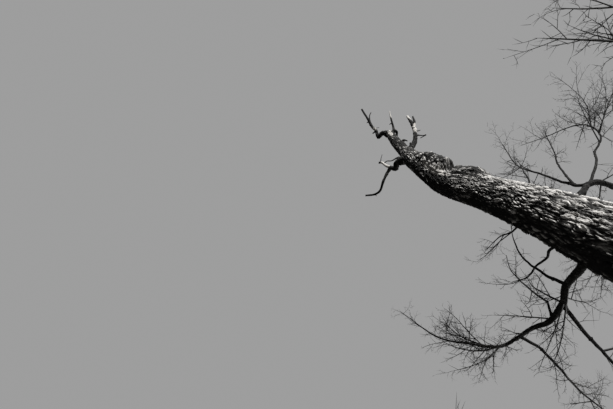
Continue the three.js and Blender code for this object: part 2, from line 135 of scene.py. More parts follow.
# Stems of the twigs: name, the limb that each goes on from (or its height on the trunk and radius
# there), seed and runs
SHOWN_STEMS = [
    ("west_bough_twigs", "west_bough", 101, [
        (280, 179, 46, 24), (410, 183, 59, 22), (490, 189, 66, 19), (960, 216, 62, 14),
        (1200, 254, 67, 4)]),
    ("west_riser_twigs", "west_riser", 102, [
        (360, 108, 81, 16), (450, 84, 85, 14), (400, 33, 82, 11), (470, 16, 73, 8), (420, 8, 62, 4)]),
    ("west_back_twigs", "west_back_limb", 103, [
        (590, 114, 18, 18), (830, 117, 17, 14), (620, 112, 30, 9), (500, 104, 46, 4)]),
    ("west_spur_twigs", "west_spur", 104, [(600, 109, 87, 12), (700, 36, 85, 8), (480, 20, 72, 4)]),
    ("west_low_twigs", "west_low_limb", 105, [
        (440, 116, 12, 17), (660, 117, 17, 14), (700, 111, 22, 9), (500, 116, 40, 4)]),
    ("east_bough_twigs", "east_bough", 106, [(600, 75, 40, 18), (700, 86, 48, 12), (700, 92, 56, 4)]),
    ("east_riser_twigs", "east_riser", 107, [
        (300, 64, 84, 16), (700, 9, 85, 14), (700, 29, 86, 11), (410, 351, 77, 9), (760, 356, 68, 4)]),
    ("east_spur_twigs", "east_spur", 108, [(430, 8, 68, 12), (550, 30, 65, 9), (760, 18, 66, 4)]),
    ("east_arch_twigs", "east_arch", 109, [
        (330, 25, 38, 13), (540, 17, 68, 11), (700, 62, 82, 9), (1010, 147, 80, 7),
        (900, 172, 80, 4)]),
    ("west_shoot_twigs", (6300, 19), 110, [
        (450, 199, 45, 17), (240, 142, 50, 15), (360, 156, 56, 13), (430, 147, 55, 9),
        (380, 176, 62, 4)]),
    ("upper_west_shoot_twigs", (7500, 15), 111, [
        (400, 175, 39, 13), (170, 162, 58, 12), (430, 166, 68, 8), (600, 161, 57, 4)]),
    ("east_shoot_twigs", (7650, 15), 112, [(420, 8, 42, 13), (330, 352, 62, 9), (420, 12, 70, 4)]),
]
# How the round boughs' stems grow: with a tip's radius, a share of the bough's length and a least length
GROWN_STEM = {"runs": 4, "heading_wander": 22, "climb_wander": 8, "climb_gain": 9, "tip": 4, "share": 0.56,
              "least": 1500}
STEM_LAP = 15

# Small spurs, thorns and stubs on the dead top, told as the limbs are
SPURS = [
    ("arm_pale_spur", "dead_arm", 0.06, 13, [(165, 313, 6, 5)]),
    ("arm_stub", "dead_arm", 0.5, 30, [(150, 208, -7, 20)]),
    ("arm_shoot", "dead_arm", 0.52, 15, [(80, 10, 7, 12), (95, 60, 4, 7)]),
    ("arm_thorn", "dead_arm", 0.77, 26, [(85, 227, -6, 8)]),
    ("spike_thorn", "dead_spike", 0.62, 27, [(125, 227, -6, 7)]),
    ("spike_shell", "dead_spike", 0.22, 50, [(130, 86, 0, 46), (140, 155, -8, 34)]),
    ("leader_hook", "trunk", 16150, 44, [(225, 11, 8, 32), (110, 78, 1, 13)]),
    ("fork_shoot", "dead_fork", 0.55, 18, [(90, 64, 4, 14), (80, 55, 4, 10)]),
    ("fork_hook", "dead_fork", 0.45, 19, [(250, 73, 1, 14), (75, 62, 3, 19), (185, 222, -6, 10)]),
    ("fork_base_stub", "dead_fork", 0.16, 38, [(120, 325, 10, 24)]),
    ("crook_spike", "dead_crook_prong", 0.85, 13, [(95, 340, 8, 10), (145, 356, 8, 6)]),
    ("crook_thorn", "dead_crook", 0.86, 18, [(75, 124, -5, 5)]),
    ("crook_hoop", "dead_crook_prong", 0.55, 15, [(118, 32, 7, 13), (140, 64, 3, 16), (216, 45, 6, 26)]),
]
# Where the dead limbs have lost their bark, as shares along them
BARE_STRETCHES = {
    "dead_arm": [(0.53, 0.6)],
    "dead_spike": [(0.8, 1.1)],
    "dead_fork": [(0.52, 0.66), (0.9, 1.1)],
    "dead_fork_prong": [(0.1, 0.35)],
    "dead_crook_prong": [(0.12, 0.8)],
}

# The rule of the twigs: the solids' own, with twigs closer together and two levels more. Its lists go by
# level, from the side twigs of a stem on.
TWIG = {
    "spacing": [72, 58, 44, 35],
    "share": [0.46, 0.5, 0.52, 0.55],
    "shortest": [90, 60, 45, 35],
    "rings": [8, 5, 3, 2],
    "longest_parent": 2100,
    "bare_foot": 0.12,
    "stray": (0.1, 0.9),
    "kinks": 3,
    "wander": 0.28,
    "lift": 0.1,
    "lean": (34, 62),
    "turn": 137.5,
    "turn_wander": 35,
    "size": {"least": 0.35, "most": 1.5, "at_foot": 1.1, "less_at_tip": 0.7},
    "taper": 0.0105,
    "root": 1.6,
    "thickest": 0.75,
    "thinning": 0.75,
}
# Twigs: how much thicker they are made than they grow, the least radius and the point's, the most
# triangles in a piece, how far a mass reaches from its stem, and how clear of other wood it keeps
TWIG_THICKNESS = 1.05
THINNEST_TWIG = 1.7
TWIG_POINT = 0.3
PIECE_TRIANGLES = 190000
MASS_REACH = 1250
CLEARANCE = 34

# Shoots along the living boughs: the share of a bough that stays bare, and their seed
SHOOT_START = 0.3
SHOOT_SEED = 900

# Bark, scale by scale: how much finer than a plate it is, round the trunk and up it, how sharp its edges
# are, how high it stands, how much that differs and how far its tops lean
BARK_SCALES = [
    (0.5, 0.6, 0.13, 0.35, 0.35, 0.4),
    (1, 1.0, 0.17, 0.45, 0.45, 1.0),
    (2, 2.6, 0.2, 0.15, 0.3, 0.7),
]
# What each scale counts for in the shade, how far the lower ends of plates stand out, how far plates stray
# from their rows, and the plain surface's level in the bark
BARK_SHADES = (0.25, 0.5, 0.25)
SHINGLE = 0.45
PLATE_STRAY = 0.85
BARK_LEVEL = 0.7

# Ripples: how strong each is, how wide, and how quickly it comes again upwards, in plates for bark, and
# in degrees and millimetres for the trunk's wood
BARK_SWAY = [(0.85, 4, 0.9), (0.12, 1, 2.4)]
BARK_DRIFT = [(0.25, 2, 1)]
BARK_GRAIN = [(0.06, 1 / 3, 9), (0.06, 1 / 6, 20)]
SCAR_EDGE = [(0.45, 6, 1 / 45)]
BARE_EDGE = [(0.22, 12, 1 / 70)]
FIBRES = [(11, 5, 1 / 420), (6.6, 2, 1 / 200)]
SPLINTERS = [(90, 12, 1), (54, 5, 1)]
HOLLOW_EDGE = [(0.25, 12, 1)]

# Bark of the trunk: the heights where each zone starts and ends and its plates round the trunk, how
# zones blend, and how long plates and how deep furrows are
BARK_ZONES = [(-2000, 5000, 72), (5000, 9600, 60), (9600, 14500, 48), (14500, 30000, 28)]
ZONE_BLEND = 900
PLATE_LENGTH = 290
FURROW_DEPTH = {"least": 11, "share": 0.055}

# Where the trunk's bark grows darker: from one height to another, and by how much
DARKER = [(8500, 12500, 0.25), (14700, 15700, 0.7)]

# The swellings' lumps on lumps: their sizes with what each counts for, how far they stand out, their
# middle level, how soon they set in, how much darker they are, and how much of the bark stays
LUMPS = [(150, 0.5), (64, 0.33), (30, 0.17)]
LUMP = {"rise": 92, "level": 0.66, "grip": 3.5, "shade": 0.15, "bark": 0.6}

# Scars of lost boughs on the trunk, as height, heading, half-width and half-height, and their shape: the
# lip, the hollow in it, and how far the bark round it is pushed aside
SCARS = [
    (5880, 264, 78, 125),
    (5500, 236, 70, 110),
    (2250, 152, 90, 140),
    (3350, 22, 62, 95),
    (7350, 171, 66, 100),
    (9250, 128, 58, 90),
    (12600, 100, 50, 80),
]
SCAR = {"lip": 14, "lip_width": 0.32, "depth": 66, "hollow": (0.15, 0.9), "push": 0.42, "reach": 1.7}

# Where the trunk has lost its bark: the middle's height and heading, half-height and half-width, and how
# far it stands out. Patches of painted shade are told in the same way, with how dark they are: two on the
# side away from the key light, and one on the side it falls on full, to dim it. The last is bare wood's
# level.
BARE_PATCHES = [(18050, 318, 620, 27, 0), (11450, 306, 1150, 16, 42)]
PAINTED_SHADE = [(12100, 256, 2500, 34, 0.9), (7500, 218, 4700, 42, 0.75), (8000, 25, 15000, 52, 0.4)]
WOOD_LEVEL = -0.2

# The trunk's pieces, the heights where they meet, their points round a ring and the rings' spacing, how
# high the bark stands out level, and the broken tip: its reach, how jagged and open it is, and its
# hollow's rings
TRUNK_PIECES = ["trunk_foot", "trunk_middle", "trunk_upper", "trunk_top"]
TRUNK_CUTS = [4800, 9600, 14200]
TRUNK_COLUMNS = 432
TRUNK_ANGLES = 360 * np.arange(TRUNK_COLUMNS) / TRUNK_COLUMNS
RING_SPACING = 25
LEVEL_FOOT = 400
BREAK = {"reach": 520, "waves": [(43.75, 3, 1), (26.25, 7, 0)], "lower": 45, "open": (150, 290, 70),
         "rings": [(0.9, 15), (0.8, 90), (0.55, 190), (0.25, 240)]}

# Limbs: plates round one and how much longer than wide they are, the radius from which bark is full, how
# much thicker a limb starts, how uneven it is, how far it sways, its knots, its bare stretches' edges, and
# the look of each kind. What is called a length counts the limb's radii.
LIMB_PLATES = 10
LIMB_PLATE_STRETCH = 3.6
FULL_BARK = {"radius": 45, "least": 0.3}
COLLAR = {"rise": 0.4, "length": 0.7}
UNEVEN = [(0.05, 1 / 4, 1 / 4)]
SWAY = {"rise": 0.35, "length": 7, "ends": 0.1}
KNOT = {"spacing": 450, "places": (0.1, 0.95), "size": (0.12, 0.35), "length": 1.2, "half_width": 75}
STRETCH_EDGE = [(0.05, 1 / 4, 14)]
STRETCH_BLUR = 0.03
DEAD_LOOK = {"columns": 32, "step": 9, "furrows": 0.3, "splinter": 1.4}
BOUGH_LOOK = {"columns": 32, "step": 17, "furrows": 0.2, "splinter": 0}
STEM_LOOK = {"columns": 8, "step": 25, "furrows": 0.08, "splinter": 0}

# The photograph's view: its size and focal length in pixels, the pixels where upright lines meet and where
# the trunk crosses its edge, and the eye's place and how far it sees, in metres
PHOTO_SIZE = (613, 409)
FOCAL_PIXELS = 460
ZENITH_PIXEL = (327, 139)
TRUNK_PIXEL = (626, 246)
EYE = Vector((0, -3.2, 1.6))
FARTHEST = 500

# Sky and floor: the sky's tone as it shows and as it lights, and the floor's tone and radius
SKY_TONE = 0.34
SKY_LIGHT = 0.06
FLOOR_TONE = 0.65
FLOOR_RADIUS = 10000

# Lights: name, heading, climb, strength and softness
LIGHTS = [("soft key", -7, 9, 9, 3), ("soft fill", 97, 12, 2.2, 40)]

# Finishes: their sheen, each bark's tones in furrows, on plates, on crests and on bare wood, what decides
# how light bark is, from which levels on each tone shows, and the twigs' tones
SHEEN = 0.12
# Furrow tones are partly the bark's own and partly painted shade in the furrows
BARK_TONES = [
    ("furrowed bark", 0.012, 0.06, 0.44, 0.44),
    ("bough bark", 0.008, 0.018, 0.055, 0.3),
    ("dead wood", 0.008, 0.02, 0.08, 0.5),
]
LIGHTNESS = {"rise": 0.8, "patches": 0.25, "plate": 0.5, "fine": 0.3, "less": 0.65}
PLATES_SHOW = ((0.15, 0), (0.5, 1))
CRESTS_SHOW = ((0.45, 0), (0.9, 1))
STREAKS_SHOW = ((0.3, 0), (0.62, 1))
TWIG_TONES = (0.012, 0.018, 0.026, 0.036)


# Chance and noise

def chance(across, up, layer):
    """A number from 0 to 1 for each whole-number place, the same on every run."""
    n = across.astype(np.int64).astype(np.uint32) * np.uint32(374761393)
    n = n + up.astype(np.int64).astype(np.uint32) * np.uint32(668265263)
    n = n + np.uint32((layer * 2246822519) % 2 ** 32)
    for _ in range(2):
        n = (n ^ (n >> np.uint32(15))) * np.uint32(2246822507)
        n = (n ^ (n >> np.uint32(13))) * np.uint32(3266489909)
    return (n ^ (n >> np.uint32(16))) / 2.0 ** 32


def fade(low, high, value):
    """From 0 up to 1 between two values."""
    t = np.clip((value - low) / (high - low), 0, 1)
    return t * t * (3 - 2 * t)


def hill(start, full, dip, end, value):
    """From 0 up to 1 and down again."""
    return fade(start, full, value) * (1 - fade(dip, end, value))


def ripple(around, up, columns, layer):
    """Smooth noise from -1 to 1, which meets itself after that many columns."""
    i, j = np.floor(around), np.floor(up)
    across, rise = fade(0, 1, around - i), fade(0, 1, up - j)

    def edge(row):
        left, right = chance(i % columns, row, layer), chance((i + 1) % columns, row, layer)
        return left * (1 - across) + right * across

    return 2 * (edge(j) * (1 - rise) + edge(j + 1) * rise) - 1


def ripples(around, up, columns, layer, waves):
    """Ripples on ripples, from a list of how strong, how wide and how quick upwards they are."""
    return sum(strength * ripple(around / wide, up * quick, round(columns / wide), layer + number)
               for number, (strength, wide, quick) in enumerate(waves))


def plates(around, up, columns, layer):
    """Bark plates: how far each place is from a furrow, its plate's lean there and its plate's number."""
    nearest, second = np.full(around.shape, np.inf), np.full(around.shape, np.inf)
    found = np.zeros((3, *around.shape))
    for down, left in np.ndindex(3, 3):
        i, j = np.floor(around) + left - 1, np.floor(up) + down - 1
        number, stray_east, stray_north = (chance(i % columns, j, layer + step) for step in (2, 0, 1))
        east = around - i - 0.5 - PLATE_STRAY * (stray_east - 0.5)
        north = up - j - 0.5 - PLATE_STRAY * (stray_north - 0.5)
        away = np.hypot(east, north)
        closer = away < nearest
        second = np.where(closer, nearest, np.minimum(second, away))
        nearest = np.where(closer, away, nearest)
        found = np.where(closer, (number, east, north), found)
    number, east, north = found
    lean = (number * 61 % 1 - 0.5) * east + (number * 89 % 1 - 0.5 - SHINGLE) * north
    return second - nearest, lean, number


def lumps(points, size, layer):
    """Rounded lumps all through space: how near each place is to the middle of one, from 0 to 1."""
    spots = points / size
    corner = np.floor(spots)
    nearest = np.full(len(points), np.inf)
    for step in np.ndindex(3, 3, 3):
        cell = corner + step - (1, 1, 1)
        across, up = cell[:, 0] + 4096 * cell[:, 2], cell[:, 1]
        middle = cell + np.stack([chance(across, up, layer + axis) for axis in range(3)], 1)
        nearest = np.minimum(nearest, ((spots - middle) ** 2).sum(1))
    return np.clip(1 - nearest, 0, 1)


class Dice:
    """Numbers by chance that are the same on every run, for one seed or many at once."""

    def __init__(self, seed):
        self.state = ((np.asarray(seed, np.uint64) + 1) * 2654435761) % 2 ** 32

    def roll(self, low, high):
        self.state = (self.state * 1664525 + 1013904223) % 2 ** 32
        return low + (high - low) * (self.state / 2.0 ** 32)


# Trunk shape

def trunk_at(height):
    """The middle line's place along X and Y, and the plain radius, at each height."""
    height = np.asarray(height, float)
    index = np.arange(len(TRUNK))
    before, after = TRUNK[np.maximum(index - 1, 0)], TRUNK[np.minimum(index + 1, len(TRUNK) - 1)]
    slopes = (after - before) / (after[:, :1] - before[:, :1])
    low = np.clip(np.searchsorted(TRUNK[:, 0], height, side="right") - 1, 0, len(TRUNK) - 2)
    width = TRUNK[low + 1, 0] - TRUNK[low, 0]
    t, width = ((height - TRUNK[low, 0]) / width)[..., None], width[..., None]
    smooth = ((2 * t ** 3 - 3 * t ** 2 + 1) * TRUNK[low] + (t ** 3 - 2 * t ** 2 + t) * width * slopes[low]
              + (3 * t ** 2 - 2 * t ** 3) * TRUNK[low + 1] + (t ** 3 - t ** 2) * width * slopes[low + 1])
    return np.moveaxis(smooth[..., 1:], -1, 0)


def turn_from(angle, heading):
    """How far round from a heading an angle is, from -180 to 180."""
    return (angle - heading + 540) % 360 - 180


def lobe(angle, heading, half_width):
    """A bump round a heading: 1 on it, 0 at its half-width and beyond."""
    away = np.minimum(np.abs(turn_from(angle, heading)) / half_width, 1)
    return np.cos(away * math.pi / 2) ** 2


def away_from(height, angle, middle, heading, tall, wide):
    """How far places on the trunk are from the middle of a patch, counted in its half-sizes."""
    return np.hypot(turn_from(angle, heading) / wide, (height - middle) / tall)


def swelling_at(height, angle, swelling):
    swell = hill(*swelling["heights"], height)
    return swell * lobe(angle, swelling["heading"], swelling["half_width"])


def trunk_radius(height, angle):
    radius = trunk_at(height)[2]
    flare = np.exp(-height / FLARE["height"])
    radius = radius + FLARE["skirt"] * flare
    for heading, reach in BUTTRESSES:
        radius = radius + reach * flare * lobe(angle, heading, FLARE["half_width"])
    for swelling in SWELLINGS:
        radius = radius + swelling["rise"] * swelling_at(height, angle, swelling)
    return radius


def trunk_spots(height, angle):
    """Places on the trunk's plain surface."""
    x, y, _ = trunk_at(height)
    radius, turn = trunk_radius(height, angle), np.radians(angle)
    return np.stack([x + radius * np.cos(turn), y + radius * np.sin(turn), height + 0 * radius], -1)


def outward(height, angle, rise=10, turn=0.5):
    """The direction straight out of the trunk's plain surface, kept level at the ground."""
    up = trunk_spots(height + rise, angle) - trunk_spots(height - rise, angle)
    around = trunk_spots(height, angle + turn) - trunk_spots(height, angle - turn)
    way = unit(np.cross(around, up))
    way[..., 2] *= fade(0, LEVEL_FOOT, height)
    return way


def ring_heights(low, high, samples=3000):
    """Heights of the trunk's rings, evenly spaced along its surface where the swellings are."""
    fine = np.linspace(low, high, samples)
    out = trunk_radius(fine, SWELLINGS[0]["heading"])
    walked = np.concatenate([[0], np.cumsum(np.hypot(np.diff(fine), np.diff(out)))])
    return np.interp(np.linspace(0, walked[-1], int(walked[-1] / RING_SPACING)), walked, fine)


# Paths: smooth curves through bend points, with a radius at each

def bend_before(count, shares):
    """The bend point before each share of a path, and how far past it the share is."""
    spot = np.asarray(shares, float) * (count - 1)
    low = np.clip(np.floor(spot), 0, count - 2).astype(int)
    return low, spot - low


def curve_rows(count, shares, slope=False):
    """What each of a curve's bend points counts for at these shares of it, in its place or its slope."""
    ends = np.zeros((count + 2, count))
    ends[1:-1] = np.eye(count)
    ends[0, :2] = 2, -1
    ends[-1, -2:] = -1, 2
    low, w = bend_before(count, shares)
    if slope:
        parts = [-0.5 + 2 * w - 1.5 * w ** 2, -5 * w + 4.5 * w ** 2,
                 0.5 + 4 * w - 4.5 * w ** 2, -w + 1.5 * w ** 2]
    else:
        parts = [-0.5 * w + w ** 2 - 0.5 * w ** 3, 1 - 2.5 * w ** 2 + 1.5 * w ** 3,
                 0.5 * w + 2 * w ** 2 - 1.5 * w ** 3, -0.5 * w ** 2 + 0.5 * w ** 3]
    return sum(part[..., None] * ends[low + step] for step, part in enumerate(parts))


def straight_rows(count, shares):
    """The same for what changes in straight lines between the bend points, as the radius does."""
    low, w = bend_before(count, shares)
    w = w[..., None]
    return np.eye(count)[low] * (1 - w) + np.eye(count)[low + 1] * w


def unit(vectors):
    return vectors / np.linalg.norm(vectors, axis=-1, keepdims=True)


def square_to(along):
    """A direction square to each of these."""
    upright = np.where(np.abs(along[..., 2:]) > 0.9, (1.0, 0, 0), (0, 0, 1.0))
    return unit(np.cross(along, upright))


class Path:
    """Bend points and the radius at each, with how deep the start lies inside what carries it."""

    sunk = 0

    def __init__(self, points, radii):
        self.points = np.array(points, float)
        self.radii = np.array(radii, float)

    def at(self, share):
        return curve_rows(len(self.points), share) @ self.points

    def along(self, share):
        return unit(curve_rows(len(self.points), share, slope=True) @ self.points)

    def radius(self, share):
        return straight_rows(len(self.radii), share) @ self.radii

    def beyond(self, share):
        """The path's outer part, from a share along it."""
        shares = np.linspace(share, 1, len(self.points))
        return Path(self.at(shares), self.radius(shares))

    def length(self):
        return float(np.linalg.norm(np.diff(self.points, axis=0), axis=1).sum())


def direction(heading, climb):
    way, rise = math.radians(heading), math.radians(climb)
    return np.array((math.cos(rise) * math.cos(way), math.cos(rise) * math.sin(way), math.sin(rise)))


def path_of(start, radius, runs):
    points, radii = [start], [radius]
    for length, heading, climb, end_radius in runs:
        points.append(points[-1] + length * direction(heading, climb))
        radii.append(end_radius)
    return Path(points, radii)


def trunk_middle(height):
    x, y, _ = trunk_at(height)
    return np.array((x, y, height))


def grown_runs(dice, rule, heading, climb, length, radius, tip_radius, count):
    """Runs of a limb grown by chance, each turned a little from the one before."""
    runs = []
    way, rise = heading, climb
    for index in range(1, count + 1):
        runs.append((length / count, way, rise, radius + (tip_radius - radius) * index / count))
        way = heading + dice.roll(-rule["heading_wander"], rule["heading_wander"])
        rise = climb + rule["climb_gain"] * index + dice.roll(-rule["climb_wander"], rule["climb_wander"])
    return runs


def limb_of(carrier, at, radius, runs):
    """A limb's path, from a share along its carrier or a height on the trunk."""
    path = path_of(trunk_middle(at) if carrier is None else carrier.at(at), radius, runs)
    path.sunk = float(trunk_at(at)[2] if carrier is None else carrier.radius(at))
    return path


def grow_limbs():
    """All limbs by name, and the stems that go on from the round boughs, told as the shown ones are."""
    limbs, grown = {}, []
    for name, parent, at, radius, runs in LIMBS:
        limbs[name] = limb_of(limbs.get(parent), at, radius, runs)
    for name, at, heading, climb, length, radius, seed, hands in ROUND_BOUGHS:
        dice = Dice(seed)
        tip = radius * ROUND["tip"]
        runs = grown_runs(dice, ROUND, heading, climb, length, radius, tip, ROUND["runs"])
        limbs[name] = limb_of(None, at, radius, runs)
        arms = [(name, runs[-1], length, tip)]
        for hand in hands:
            side = SIDE_LIMB[hand]
            limb = f"{name}_{hand}_limb"
            base = runs[int(side["at"] * len(runs))]
            thick = radius * side["thickness"]
            side_tip = thick * SIDE["tip"]
            side_runs = grown_runs(dice, ROUND, base[1] + side["turn"], base[2] + SIDE["climb"],
                                   length * side["share"], thick, side_tip, SIDE["runs"])
            limbs[limb] = limb_of(limbs[name], side["at"], thick, side_runs)
            arms.append((limb, side_runs[-1], length * SIDE["stem"], side_tip))
        for index, (limb, last, reach, thick) in enumerate(arms):
            size = max(reach * GROWN_STEM["share"], GROWN_STEM["least"])
            stem_runs = grown_runs(dice, GROWN_STEM, last[1], last[2], size, thick, GROWN_STEM["tip"],
                                   GROWN_STEM["runs"])
            grown.append((f"{limb}_twigs", limb, seed * 10 + index, stem_runs))
    return limbs, grown


def grow_stems(limbs, grown):
    """Each stem's name, seed and path. It starts a little inside its limb's tip, or in the trunk."""
    stems = []
    for name, holder, seed, runs in grown + SHOWN_STEMS:
        if holder in limbs:
            limb = limbs[holder]
            start, radius = limb.at(1.0) - limb.along(1.0) * STEM_LAP, limb.radii[-1]
        else:
            height, radius = holder
            start = trunk_middle(height)
        stems.append((name, seed, path_of(start, radius, runs)))
    return stems


# Twigs

def segments_of(paths):
    """Both ends of every straight stretch of these paths, its thicker end's radius and its path's number."""
    rows = [(path.points[:-1], path.points[1:], np.maximum(path.radii[:-1], path.radii[1:]),
             np.full(len(path.points) - 1, number)) for number, path in enumerate(paths)]
    return [np.concatenate(column) for column in zip(*rows)]


def distances(points, starts, ends):
    """How far each point is from each straight stretch."""
    stretch = ends - starts
    share = ((points[:, None] - starts) * stretch).sum(-1) / (stretch ** 2).sum(-1)
    nearest = starts + np.clip(share, 0, 1)[..., None] * stretch
    return np.linalg.norm(points[:, None] - nearest, axis=-1)


class Space:
    """Where twigs may grow: in the solids' box, clear of the trunk and limbs, and for a mass within its
    reach and nearer to its own stem than to another."""

    def __init__(self, limbs, stems):
        self.limbs = segments_of(limbs)
        self.stems = segments_of(stems)
        self.low, self.high = (np.array(corner) / MM for corner in CAD_BOX)

    def clear(self, points):
        starts, ends, radii, _ = self.limbs
        surface = (distances(points, starts, ends) - radii).min(1)
        x, y, _ = trunk_at(np.minimum(points[:, 2], TRUNK_TOP))
        out = np.hypot(points[:, 0] - x, points[:, 1] - y)
        angle = np.degrees(np.arctan2(points[:, 1] - y, points[:, 0] - x))
        clear = (out > trunk_radius(points[:, 2], angle) + CLEARANCE) & (surface >= CLEARANCE)
        return clear & (points > self.low).all(1) & (points < self.high).all(1)

    def near(self, own, points):
        starts, ends, _, owner = self.stems
        away = distances(points, starts, ends)
        mine, others = away[:, owner == own].min(1), away[:, owner != own].min(1)
        return (mine <= MASS_REACH) & (others >= mine + 2 * CLEARANCE)

    def holds(self, own, curves):
        """Whether each twig may grow, by its places at each quarter of it."""
        quarters = curve_rows(TWIG["kinks"] + 1, np.arange(1, 5) / 4) @ curves
        points = quarters.reshape(-1, 3)
        fine = self.clear(points)
        if own is not None:
            fine &= self.near(own, points)
        return fine.reshape(-1, 4).all(1)


# Many twigs at once, with the spray that each is in
Twigs = namedtuple("Twigs", ["points", "radii", "lengths", "seeds", "sprays"])


def side_twigs(parents, level):
    """Side twigs of many twigs at once, by the rule for their level."""
    counts = (parents.lengths * (1 - TWIG["bare_foot"]) / TWIG["spacing"][level]).astype(int)
    parent = np.repeat(np.arange(len(counts)), counts)
    index = np.arange(len(parent)) - np.repeat(np.cumsum(counts) - counts, counts)
    seeds = (parents.seeds[parent] * 977 + index.astype(np.uint64) * 131 + 7) % 2 ** 32
    dice = Dice(seeds)
    place = (index + dice.roll(*TWIG["stray"])) / counts[parent]
    share = TWIG["bare_foot"] + (1 - TWIG["bare_foot"]) * place
    turn = np.radians(index * TWIG["turn"] + dice.roll(-TWIG["turn_wander"], TWIG["turn_wander"]))
    lean = np.radians(dice.roll(*TWIG["lean"]))
    least, most, at_foot, less_at_tip = TWIG["size"].values()
    size = np.minimum(parents.lengths[parent], TWIG["longest_parent"]) * TWIG["share"][level]
    size = size * (at_foot - less_at_tip * share) * (least + (most - least) * dice.roll(0, 1) ** 2)
    bends = parents.points.shape[1]
    spots = (curve_rows(bends, share)[:, None] @ parents.points[parent])[:, 0]
    along = unit((curve_rows(bends, share, slope=True)[:, None] @ parents.points[parent])[:, 0])
    side = square_to(along)
    side = side * np.cos(turn)[:, None] + np.cross(along, side) * np.sin(turn)[:, None]
    way = along * np.cos(lean)[:, None] + side * np.sin(lean)[:, None]
    parent_radius = (straight_rows(bends, share) * parents.radii[parent]).sum(1)
    radius = np.minimum(size * TWIG["taper"] + TWIG["root"], parent_radius * TWIG["thickest"])
    points, radii = [spots], [radius]
    for kink in range(1, TWIG["kinks"] + 1):
        sway = [dice.roll(-TWIG["wander"], TWIG["wander"]) for _ in range(3)]
        way = unit(way + np.stack(sway, 1) + (0, 0, TWIG["lift"]))
        points.append(points[-1] + way * (size / TWIG["kinks"])[:, None])
        radii.append(radius * (1 - TWIG["thinning"] * kink / TWIG["kinks"]))
    sprays = seeds if level == 0 else parents.sprays[parent]
    return Twigs(np.stack(points, 1), np.stack(radii, 1), size, seeds, sprays)


def grow_twigs(path, seed, space, own=None):
    """All twigs that grow from one stem or bough, as one lot for each level."""
    seeds = np.array([seed], np.uint64)
    twigs = Twigs(path.points[None], path.radii[None], np.array([path.length()]), seeds, seeds)
    lots = []
    for level in range(len(TWIG["spacing"])):
        twigs = side_twigs(twigs, level)
        kept = (twigs.lengths >= TWIG["shortest"][level]) & space.holds(own, twigs.points)
        twigs = Twigs(*(values[kept] for values in twigs))
        if not len(twigs.lengths):
            break
        lots.append((level, twigs))
    return lots


# Meshes

def tube_points(centres, radii, wander=None):
    """Points of many tubes at once, from their rings' centres (tubes, rings, 3) and their radii
    (tubes, rings, sides)."""
    along = unit(np.gradient(centres, axis=1))
    side = square_to(along[:, 0])
    sides = radii.shape[2]
    angle = 2 * math.pi * np.arange(sides) / sides
    rings = []
    for ring in range(centres.shape[1]):
        side = unit(side - (side * along[:, ring]).sum(-1, keepdims=True) * along[:, ring])
        over = np.cross(along[:, ring], side)
        centre = centres[:, ring]
        if wander is not None:
            centre = centre + side * wander[0][ring] + over * wander[1][ring]
        out = side[:, None] * np.cos(angle)[:, None] + over[:, None] * np.sin(angle)[:, None]
        rings.append(centre[:, None] + out * radii[:, ring, :, None])
    return np.stack(rings, 1)


def ring_faces(rings, sides):
    """Four-sided faces between rings that follow one another, and their corners on a map from 0 to 1."""
    ring, side = (values.reshape(-1, 1) for values in np.indices((rings - 1, sides)))
    row, column = ring + (0, 0, 1, 1), side + (0, 1, 1, 0)
    return row * sides + column % sides, np.stack([column / sides, row / (rings - 1)], -1)


def end_faces(sides, ring_start, centre, at_foot):
    """Three-sided faces that close a ring to one point."""
    side = np.arange(sides)
    after = (side + 1) % sides
    first, second = (after, side) if at_foot else (side, after)
    return np.stack([ring_start + first, ring_start + second, np.full(sides, centre)], 1)


def end_map(sides, first, second):
    """Where the faces of an end lie on the map: on the line from one spot to another."""
    return np.tile([first, second, first], (sides, 1, 1))


def add_object(name, data):
    """An object in the scene, from its data."""
    made = bpy.data.objects.new(name, data)
    bpy.context.scene.collection.objects.link(made)
    return made


def make_piece(name, points, faces, finishes, maps=None, marks=None, finish_of=None):
    """A mesh from points in millimetres and lists of faces, with its map, marks and finishes."""
    mesh = bpy.data.meshes.new(name)
    mesh.vertices.add(len(points))
    mesh.vertices.foreach_set("co", (points * MM).astype(np.float32).ravel())
    corners = np.concatenate([face.ravel() for face in faces])
    sizes = np.concatenate([np.full(len(face), face.shape[1]) for face in faces])
    mesh.loops.add(len(corners))
    mesh.loops.foreach_set("vertex_index", corners.astype(np.int32))
    mesh.polygons.add(len(sizes))
    mesh.polygons.foreach_set("loop_start", (np.cumsum(sizes) - sizes).astype(np.int32))
    if finish_of is not None:
        mesh.polygons.foreach_set("material_index", finish_of.astype(np.int32))
    mesh.update(calc_edges=True)
    if maps is not None:
        layer = mesh.uv_layers.new(name="OFBake")
        spots = np.concatenate([spot.reshape(-1, 2) for spot in maps])
        layer.uv.foreach_set("vector", spots.astype(np.float32).ravel())
    for mark, values in (marks or {}).items():
        attribute = mesh.attributes.new(mark, "FLOAT", "POINT")
        attribute.data.foreach_set("value", values.astype(np.float32).ravel())
    for finish in finishes:
        mesh.materials.append(finish)
    mesh.shade_smooth()
    return add_object(name, mesh)


def place_piece(piece, nodes):
    """Sets a piece on the tree in place of the solids that it stands for."""
    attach(piece, "root")
    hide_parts(*nodes)


# Finishes

class Wire:
    """A socket in a finish's nodes, that sums can be written with."""

    def __init__(self, finish, socket):
        self.finish = finish
        self.socket = socket

    def _sum(self, operation, first, second):
        return self.finish.node("ShaderNodeMath", {"operation": operation}, {0: first, 1: second})

    def __add__(self, other):
        return self._sum("ADD", self, other)

    def __sub__(self, other):
        return self._sum("SUBTRACT", self, other)

    def __rsub__(self, other):
        return self._sum("SUBTRACT", other, self)

    def __mul__(self, other):
        return self._sum("MULTIPLY", self, other)

    __radd__ = __add__
    __rmul__ = __mul__


